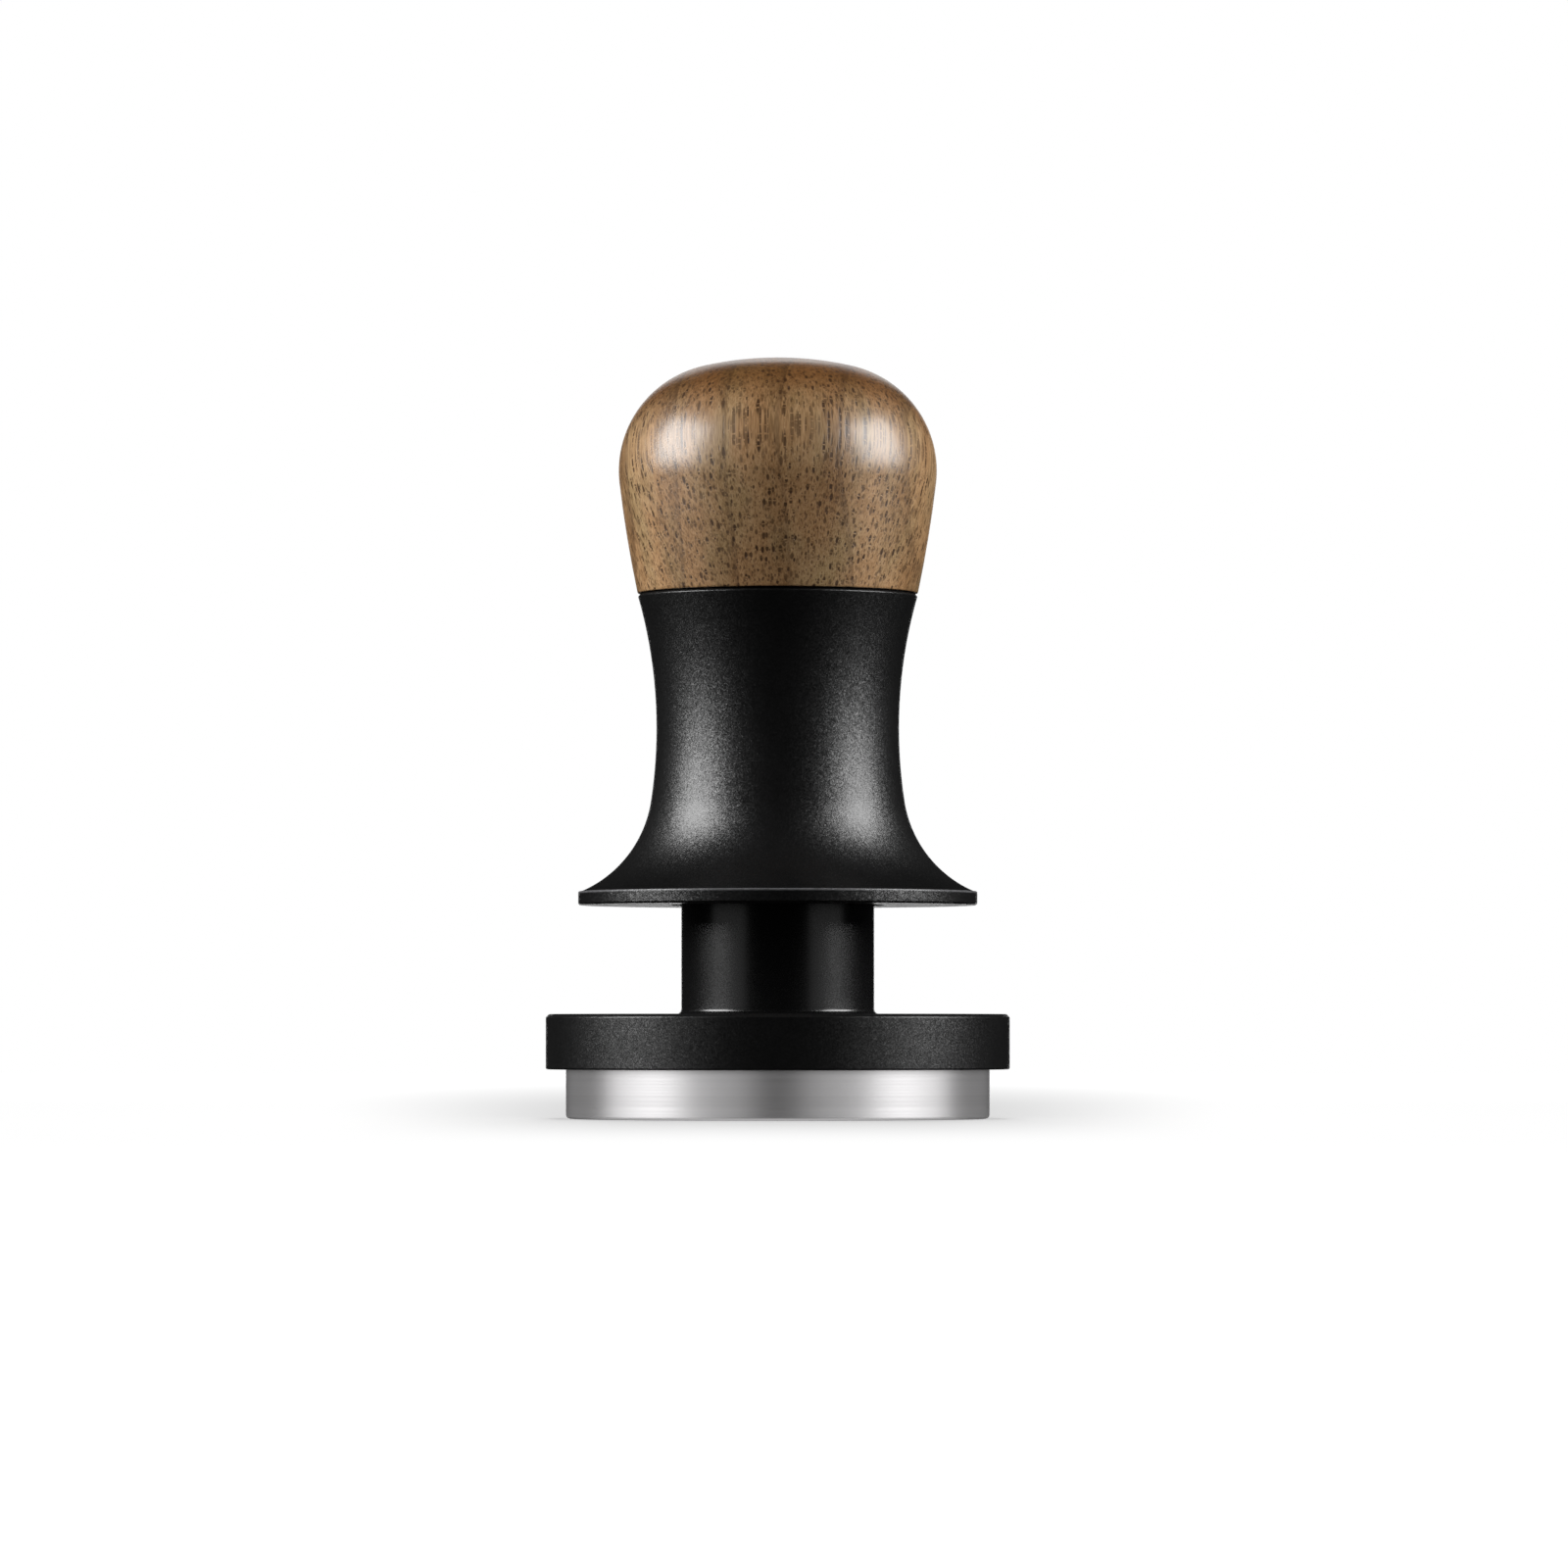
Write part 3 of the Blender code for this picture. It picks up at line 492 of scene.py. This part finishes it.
def turned(name, profile, closed, segments=128):
    """A mesh object made by turning an (r, z) profile in millimetres about Z."""
    vertices, rings, faces = [], [], []
    for r, z in profile:
        if r < 1e-6:
            rings.append([len(vertices)] * segments)
            vertices.append((0, 0, z * MM))
            continue
        rings.append(range(len(vertices), len(vertices) + segments))
        for k in range(segments):
            angle = tau * k / segments
            vertices.append((r * MM * cos(angle), r * MM * sin(angle), z * MM))
    for upper, lower in zip(rings, rings[1:] + rings[:1] if closed else rings[1:]):
        for k in range(segments):
            after = (k + 1) % segments
            corners = [upper[k], lower[k], lower[after], upper[after]]
            faces.append(list(dict.fromkeys(corners)))
    mesh = bpy.data.meshes.new(name)
    mesh.from_pydata(vertices, [], faces)
    return new_piece(name, mesh)


def swept(name, outlines):
    """A mesh object through closed outlines with the same number of points, in millimetres, with
    its two ends closed. Seen along the way it goes, the outlines run clockwise."""
    count = len(outlines[0])
    last = (len(outlines) - 1) * count
    faces = [tuple(range(count - 1, -1, -1)), tuple(range(last, last + count))]
    for start in range(0, last, count):
        for k in range(count):
            after = (k + 1) % count
            faces.append((start + k, start + after, start + count + after, start + count + k))
    mesh = bpy.data.meshes.new(name)
    mesh.from_pydata([Vector(point) * MM for outline in outlines for point in outline], [], faces)
    return new_piece(name, mesh)


def new_piece(name, mesh):
    mesh.shade_smooth()
    mesh.set_sharp_from_angle(angle=radians(SMOOTH_BELOW))
    piece = bpy.data.objects.new(name, mesh)
    bpy.context.scene.collection.objects.link(piece)
    return piece


def body_of(node):
    return next(body for body, nodes in frame["record"]["behaviour"]["bodies"].items() if node in nodes)


def stands_for(piece, node):
    """Gives the piece its node's material, slot and body, and hides the node."""
    piece.data.materials.clear()
    piece.data.materials.append(MATERIALS[SLOT_OF[node]])
    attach(piece, body_of(node))
    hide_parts(node)
    return piece


def even_normals(piece):
    """Keeps the shading of flats flat beside their rounded edges."""
    normals = piece.modifiers.new("Even normals", "WEIGHTED_NORMAL")
    normals.keep_sharp = True
    return piece


def fine_turned(node, edge=0.15, outline=None, azimuth=0, segments=128):
    """Stands a finely turned piece, with rounded edges, in for a turned CAD node."""
    profile = section(node, azimuth)
    if outline:
        profile = with_outline(profile, outline)
    closed = profile[0][0] > 0 or profile[-1][0] > 0
    piece = turned(node + "_fine", rounded(profile, edge, closed), closed, segments)
    return even_normals(stands_for(piece, node))


# ---- the four pieces that show ----

# Radius of each arc and the degrees it turns, from the top of the dome.
KNOB_ARCS = ((46.7, 13.05), (14.73, 83.7), (167.0, 5.16))
# The sleeve leans in at its top; its waist then turns back out and runs into the flare.
SLEEVE_LEAN = 15.9
WAIST_ARC_RADIUS, WAIST_ARC_TURN = 66.3, 24.67
FLARE_ARC_RADIUS = 16.15
SLEEVE_EDGE = 0.35  # height of the small edge at the sleeve's top, above where its outline starts
FLANGE_RIM = 1.9  # height of the flange's straight rim, up to where the outline ends
SHOWING_SEGMENTS = 192  # round each of the four


def knob_outline():
    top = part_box("wood_knob")[1].z / MM
    return arc_chain((0, top), 0, KNOB_ARCS)


def sleeve_outline():
    """The sleeve's outer side, from its top edge down to the flange's rim."""
    low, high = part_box("handle_sleeve")
    top_z, rim_z = high.z / MM - SLEEVE_EDGE, low.z / MM + FLANGE_RIM
    top_radius = max(p[0] for p in section("handle_sleeve") if abs(p[1] - top_z) < 0.01)
    heading = -90 - SLEEVE_LEAN
    waist = arc_chain((top_radius, top_z), heading, [(WAIST_ARC_RADIUS, -WAIST_ARC_TURN)])
    flare_lean = WAIST_ARC_TURN - SLEEVE_LEAN
    drop = waist[-1][1] - rim_z
    flare_turn = degrees(asin(sin(radians(flare_lean)) + drop / FLARE_ARC_RADIUS)) - flare_lean
    flare = arc_chain(waist[-1], heading + WAIST_ARC_TURN, [(FLARE_ARC_RADIUS, -flare_turn)])
    return waist + flare[1:]


fine_turned("wood_knob", edge=0.25, outline=knob_outline(), segments=SHOWING_SEGMENTS)
fine_turned("handle_sleeve", edge=0.18, outline=sleeve_outline(), segments=SHOWING_SEGMENTS)
fine_turned("levelling_ring", edge=0.2, segments=SHOWING_SEGMENTS)
fine_turned("tamper_base", edge=0.12, segments=SHOWING_SEGMENTS)


# ---- the pieces inside ----

KEY_SIZE, KEY_DEPTH = 3.0, 2.0
# The shaft's collar: its radius, the width across its two flats, and the heights that these span.
COLLAR_RADIUS, COLLAR_FLATS, COLLAR_Z = 7.0, 12.0, (7.1, 8.7)
MAIN_WIRE, MAIN_TURNS = 2.0, 6
RETURN_WIRE, RETURN_TURNS = 1.0, 8
CLOSED_PITCH = 1.12  # of a closed turn, in wire thicknesses
GROUND_SHARE = 0.22  # how much of the wire's thickness is ground off at each end
CLIP_OPENING, SNAP_RING_OPENING = 64, 18  # degrees


def cut(node, outline, bottom, top):
    """Takes an upright prism, given by its (x, y) outline in millimetres, out of a fine piece."""
    piece = bpy.data.objects[node + "_fine"]
    cutter = swept(node + "_cutter", [[(x, y, z) for x, y in outline] for z in (bottom, top)])
    piece.modifiers.clear()
    boolean = piece.modifiers.new("Cut", "BOOLEAN")
    boolean.operation = "DIFFERENCE"
    boolean.object = cutter
    evaluated = piece.evaluated_get(bpy.context.evaluated_depsgraph_get())
    piece.data = bpy.data.meshes.new_from_object(evaluated)
    piece.modifiers.clear()
    bpy.data.objects.remove(cutter)
    piece.data.set_sharp_from_angle(angle=radians(SMOOTH_BELOW))
    even_normals(piece)


def cut_key_socket(node, across_flats, depth):
    """Sinks a hexagonal key socket into the top of a screw."""
    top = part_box(node)[1].z / MM
    radius = across_flats / 2 / cos(pi / 6)
    corners = [(radius * cos(tau * k / 6), radius * sin(tau * k / 6)) for k in range(6)]
    cut(node, corners, top - depth, top + depth)


def fine_spring(node, wire, turns, steps=40, around=14):
    """Stands a fine compression spring in for the CAD one, with closed and ground ends."""
    low, high = (corner.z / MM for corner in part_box(node))
    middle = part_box(node)[1].x / MM - wire / 2
    closed_pitch = CLOSED_PITCH * wire
    open_pitch = (high - low - wire - 2 * closed_pitch) / (turns - 2)
    outlines = []
    for i in range(turns * steps + 1):
        turn = i / steps
        first, last = min(turn, 1), max(turn - turns + 1, 0)
        z = low + wire / 2 + closed_pitch * (first + last) + open_pitch * (turn - first - last)
        # The ends lie closer, so that grinding them leaves a flat.
        z += GROUND_SHARE * wire * (last - (1 - first))
        outline = []
        for k in range(around):
            angle = -tau * k / around
            r = middle + wire / 2 * cos(angle)
            height = min(max(z + wire / 2 * sin(angle), low), high)
            outline.append((r * cos(tau * turn), r * sin(tau * turn), height))
        outlines.append(outline)
    return stands_for(swept(node + "_fine", outlines), node)


def squash_to(piece):
    """Gives a spring its own copy of its mesh."""
    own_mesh(piece)


def fine_split_ring(node, opening, edge=0.1, steps=120):
    """Stands a ring with rounded edges, open on its +X side by those degrees, in for the CAD one."""
    low, high = (corner.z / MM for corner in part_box(node))
    radii = [v.co.xy.length / MM for v in frame["nodes"][node].data.vertices]
    inner, outer = min(radii), max(radii)
    profile = rounded([(outer, high), (outer, low), (inner, low), (inner, high)], edge, closed=True)
    outlines = []
    for i in range(steps + 1):
        angle = radians(opening / 2 + (360 - opening) * i / steps)
        outlines.append([(r * cos(angle), r * sin(angle), z) for r, z in profile])
    return even_normals(stands_for(swept(node + "_fine", outlines), node))


for inner_node in (
    "base_seal_ring",
    "piston",
    "piston_washer",
    "piston_screw",
    "return_spring_seat",
    "thrust_washer",
    "ring_bush",
    "tube_seal_ring",
    "guide_bush",
    "spring_housing",
    "stop_bumper",
    "main_spring_seat",
    "housing_plug",
    "knob_stud",
    "knob_insert",
):
    fine_turned(inner_node)
fine_turned("centre_shaft", azimuth=90)

for screw in ("piston_screw", "knob_stud"):
    cut_key_socket(screw, KEY_SIZE, KEY_DEPTH)
for side in (-1, 1):
    flat, clear = side * COLLAR_FLATS / 2, side * 2 * COLLAR_RADIUS
    cut("centre_shaft", [(flat, -clear), (clear, -clear), (clear, clear), (flat, clear)], *COLLAR_Z)

fine_split_ring("shaft_clip", CLIP_OPENING)
fine_split_ring("bush_snap_ring", SNAP_RING_OPENING)

main_spring = fine_spring("main_spring", MAIN_WIRE, MAIN_TURNS)
return_spring = fine_spring("return_spring", RETURN_WIRE, RETURN_TURNS)
squash_to(main_spring)
squash_to(return_spring)


# ---- stage, light and camera ----

CAMERA_DISTANCE = 1.143
CAMERA_HEIGHT = 0.012
CAMERA_TILT = 1.7096  # degrees up
CAMERA_SIDE = 0.00086  # how far right of the middle the camera stands
VIEW_ANGLE = 10.8  # degrees across the frame

LIGHT_DISTANCE = 0.6
AIM_HEIGHT = 0.05
# Azimuth from the camera's side and elevation of the centre, width and height seen from the tamper
# (all degrees), and radiance.
SOFTBOX_LEFT = (-80, 24, 36, 34, 12.0)
SOFTBOX_RIGHT = (80, 24, 36, 34, 10.9)
# The white behind the tamper: what the knob sees of it, and what everything else does.
DOME_CARD = (180, 19, 26, 30, 1.2)
REAR_CARD = (180, -4, 24, 14, 2.5)
# Soft light from both sides of the front, which leaves no reflection.
SIDE_FILLS = ((-52, 22, 50, 40, 0.39), (52, 22, 50, 40, 0.39))
# Low cards that only the steel base sees: the bands in its side. The last one, straight below, stands
# for the white floor, which shows in its lower edge.
STEEL_CARDS = (
    (-78, -6, 50, 48, 1.5),
    (78, -6, 50, 48, 1.5),
    (-46, -4, 68, 40, 0.68),
    (46, -4, 68, 40, 0.68),
    (-135, -4, 40, 46, 0.25),
    (135, -4, 40, 46, 0.25),
    (0, -90, 100, 100, 0.7),
)
# Low cards that only the levelling ring and its tube see, under the flange.
RING_CARDS = ((-60, 0, 44, 16, 0.4), (60, 0, 44, 16, 0.4))
WORLD_LIGHT = 0.01
STRIP_SIZE = (0.4, 4.0)
STRIP_HEIGHT = 0.9
STRIP_RADIANCE = 1.6
FLOOR_REACH = 1.2
FLOOR_DROP = 0.02 * MM  # below the base, so that the two don't lie in one plane
# The floor's own brightness near the tamper and far from it, in millimetres from it.
FLOOR_GLOW, FLOOR_FAR_GLOW = 0.725, 0.9
GLOW_DISTANCES = (200.0, 1200.0)
# The painted soft shade round the base: how deep it is, the distances to the side between which it
# comes in, and the nearness values between which it comes in from the front and from the back.
PAINTED_FLOOR_SHADE = 0.30
SHADE_SIDES = (64.0, 20.0)
SHADE_FRONT, SHADE_BACK = (1.28, 0.93), (0.45, 0.90)


def area_light(name, size, radiance, place, target=(0, 0, AIM_HEIGHT)):
    """A rectangular light of even radiance that faces the target."""
    light = bpy.data.lights.new(name, "AREA")
    light.shape = "RECTANGLE"
    light.size, light.size_y = size
    light.energy = radiance * pi * size[0] * size[1]
    obj = bpy.data.objects.new(name, light)
    bpy.context.scene.collection.objects.link(obj)
    obj.location = place
    obj.rotation_euler = (Vector(target) - Vector(place)).to_track_quat("-Z", "Y").to_euler()
    obj.visible_camera = False
    return obj


def light_at(name, azimuth, elevation, width, height, radiance):
    """An area light given by how it looks from the tamper."""
    size = tuple(2 * LIGHT_DISTANCE * tan(radians(angle) / 2) for angle in (width, height))
    out, up = LIGHT_DISTANCE * cos(radians(elevation)), LIGHT_DISTANCE * sin(radians(elevation))
    place = (out * sin(radians(azimuth)), -out * cos(radians(azimuth)), AIM_HEIGHT + up)
    return area_light(name, size, radiance, place)


def limit_to(light, objects, state):
    """Has the light reach only those objects, or all but them."""
    linked = bpy.data.collections.new(light.name + "_reach")
    for obj in objects:
        linked.objects.link(obj)
    for link in linked.collection_objects:
        link.light_linking.link_state = state
    light.light_linking.receiver_collection = linked


def make_lights(floor):
    names = ("wood_knob", "tamper_base", "levelling_ring")
    wood, steel, ring = (bpy.data.objects[node + "_fine"] for node in names)
    for name, settings in (("softbox_left", SOFTBOX_LEFT), ("softbox_right", SOFTBOX_RIGHT)):
        limit_to(light_at(name, *settings), [floor, steel], "EXCLUDE")
    limit_to(light_at("rear_card", *REAR_CARD), [floor, wood], "EXCLUDE")
    limit_to(light_at("dome_card", *DOME_CARD), [wood], "INCLUDE")
    for number, settings in enumerate(SIDE_FILLS):
        fill = light_at(f"side_fill_{number}", *settings)
        fill.visible_glossy = False
        limit_to(fill, [floor], "EXCLUDE")
    for number, settings in enumerate(STEEL_CARDS):
        limit_to(light_at(f"steel_card_{number}", *settings), [steel], "INCLUDE")
    for number, settings in enumerate(RING_CARDS):
        limit_to(light_at(f"ring_card_{number}", *settings), [ring], "INCLUDE")
    # A long strip overhead lights the floor, and the tamper leaves a soft shadow in it.
    strip = area_light("overhead_strip", STRIP_SIZE, STRIP_RADIANCE, (0, 0, STRIP_HEIGHT), (0, 0, 0))
    limit_to(strip, [floor], "INCLUDE")


def make_world():
    """White to the camera, dim for everything else."""
    world = bpy.data.worlds.new("studio")
    bpy.context.scene.world = world
    world.use_nodes = True
    tree = world.node_tree
    path = tree.nodes.new("ShaderNodeLightPath")
    level = tree.nodes.new("ShaderNodeMapRange")
    level.inputs["To Min"].default_value = WORLD_LIGHT
    level.inputs["To Max"].default_value = 1.0
    tree.links.new(path.outputs["Is Camera Ray"], level.inputs["Value"])
    background = tree.nodes["Background"]
    background.inputs["Color"].default_value = (1, 1, 1, 1)
    tree.links.new(level.outputs[0], background.inputs["Strength"])


def make_floor():
    """A pale floor that only the camera sees, near white except for a painted soft shade round the base.
    """
    r = FLOOR_REACH
    mesh = bpy.data.meshes.new("floor")
    mesh.from_pydata([(-r, -r, 0), (r, -r, 0), (r, r, 0), (-r, r, 0)], [], [(0, 1, 2, 3)])
    floor = bpy.data.objects.new("floor", mesh)
    floor.location.z = -FLOOR_DROP
    bpy.context.scene.collection.objects.link(floor)
    s = Surface("pale_floor")
    x, y, _ = s.node("ShaderNodeSeparateXYZ", {"Vector": s.place}).outputs
    # 1 at the tamper and less behind it, in step with how small things look from the camera.
    nearness = s.maths("DIVIDE", CAMERA_DISTANCE / MM, s.maths("ADD", y, CAMERA_DISTANCE / MM))
    # Painted shade round the base: it lowers the floor's glow there.
    shade = s.fade(s.maths("ABSOLUTE", s.maths("MULTIPLY", x, nearness)), *SHADE_SIDES)
    shade = s.maths("MULTIPLY", shade, s.fade(nearness, *SHADE_FRONT))
    shade = s.maths("MULTIPLY", shade, s.fade(nearness, *SHADE_BACK))
    distance = s.vector("LENGTH", s.place)
    glow = s.fade(distance, *GLOW_DISTANCES, FLOOR_GLOW, FLOOR_FAR_GLOW)
    s.set(
        Base_Color=(0.8, 0.8, 0.8, 1),
        Roughness=0.9,
        Specular_IOR_Level=0.0,
        Emission_Color=(1, 1, 1, 1),
        Emission_Strength=s.maths("SUBTRACT", glow, s.maths("MULTIPLY", shade, PAINTED_FLOOR_SHADE)),
    )
    mesh.materials.append(s.material)
    floor.visible_glossy = floor.visible_diffuse = floor.visible_shadow = False
    return floor


def make_camera():
    data = bpy.data.cameras.new("camera")
    data.sensor_width = 36
    data.lens = data.sensor_width / 2 / tan(radians(VIEW_ANGLE) / 2)
    camera = bpy.data.objects.new("camera", data)
    bpy.context.scene.collection.objects.link(camera)
    camera.location = (CAMERA_SIDE, -CAMERA_DISTANCE, CAMERA_HEIGHT)
    camera.rotation_euler = (radians(90 + CAMERA_TILT), 0, 0)
    bpy.context.scene.camera = camera


make_lights(make_floor())
make_world()
make_camera()
bpy.context.scene.view_settings.view_transform = "Standard"
